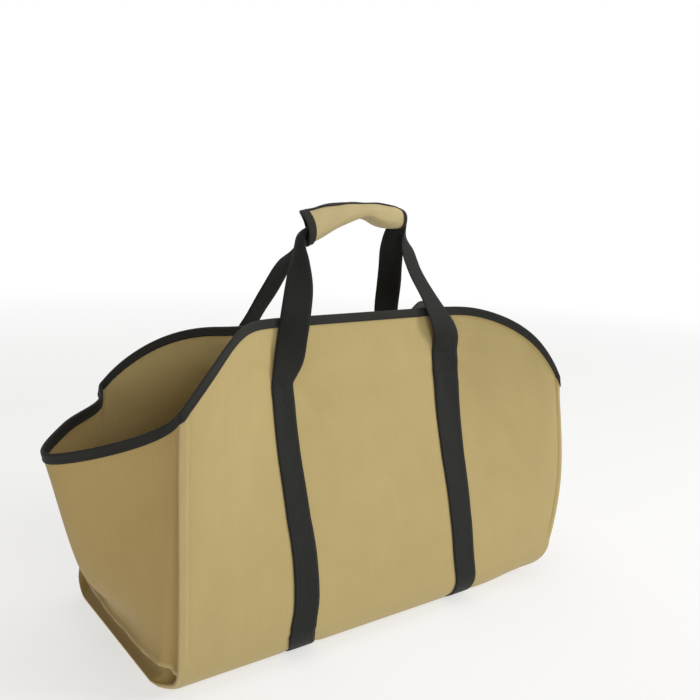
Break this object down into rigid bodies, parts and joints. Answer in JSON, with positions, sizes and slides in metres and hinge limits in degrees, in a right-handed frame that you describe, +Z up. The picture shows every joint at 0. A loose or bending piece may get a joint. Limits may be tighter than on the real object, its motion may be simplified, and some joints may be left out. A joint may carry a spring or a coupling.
{
  "type": "log carrier",
  "caption": "Open-topped canvas log carrier with spout-like ends, bound rim, webbing straps sewn round the base and a wrapped carry grip.",
  "frame": {"origin": "middle of the footprint on the floor, under the base", "axes": "+X along the carrier's length to the right end, -Y towards the front panel, +Z up"},
  "size_m": [0.7992, 0.3078, 0.5463],
  "materials": {
    "canvas": "tightly woven khaki canvas, matt with a faint sheen",
    "binding_tape": "black grosgrain tape, folded and stitched",
    "webbing": "black woven strap, matt"
  },
  "bodies": {
    "root": {"body_panel": "canvas", "end_panel_left": "canvas", "end_panel_right": "canvas", "rim_binding": "binding_tape", "strap_front": "webbing", "strap_back": "webbing", "grip_wrap": "canvas", "grip_end_tape_left": "binding_tape", "grip_end_tape_right": "binding_tape", "grip_edge_tape": "binding_tape"}
  },
  "joints": []
}
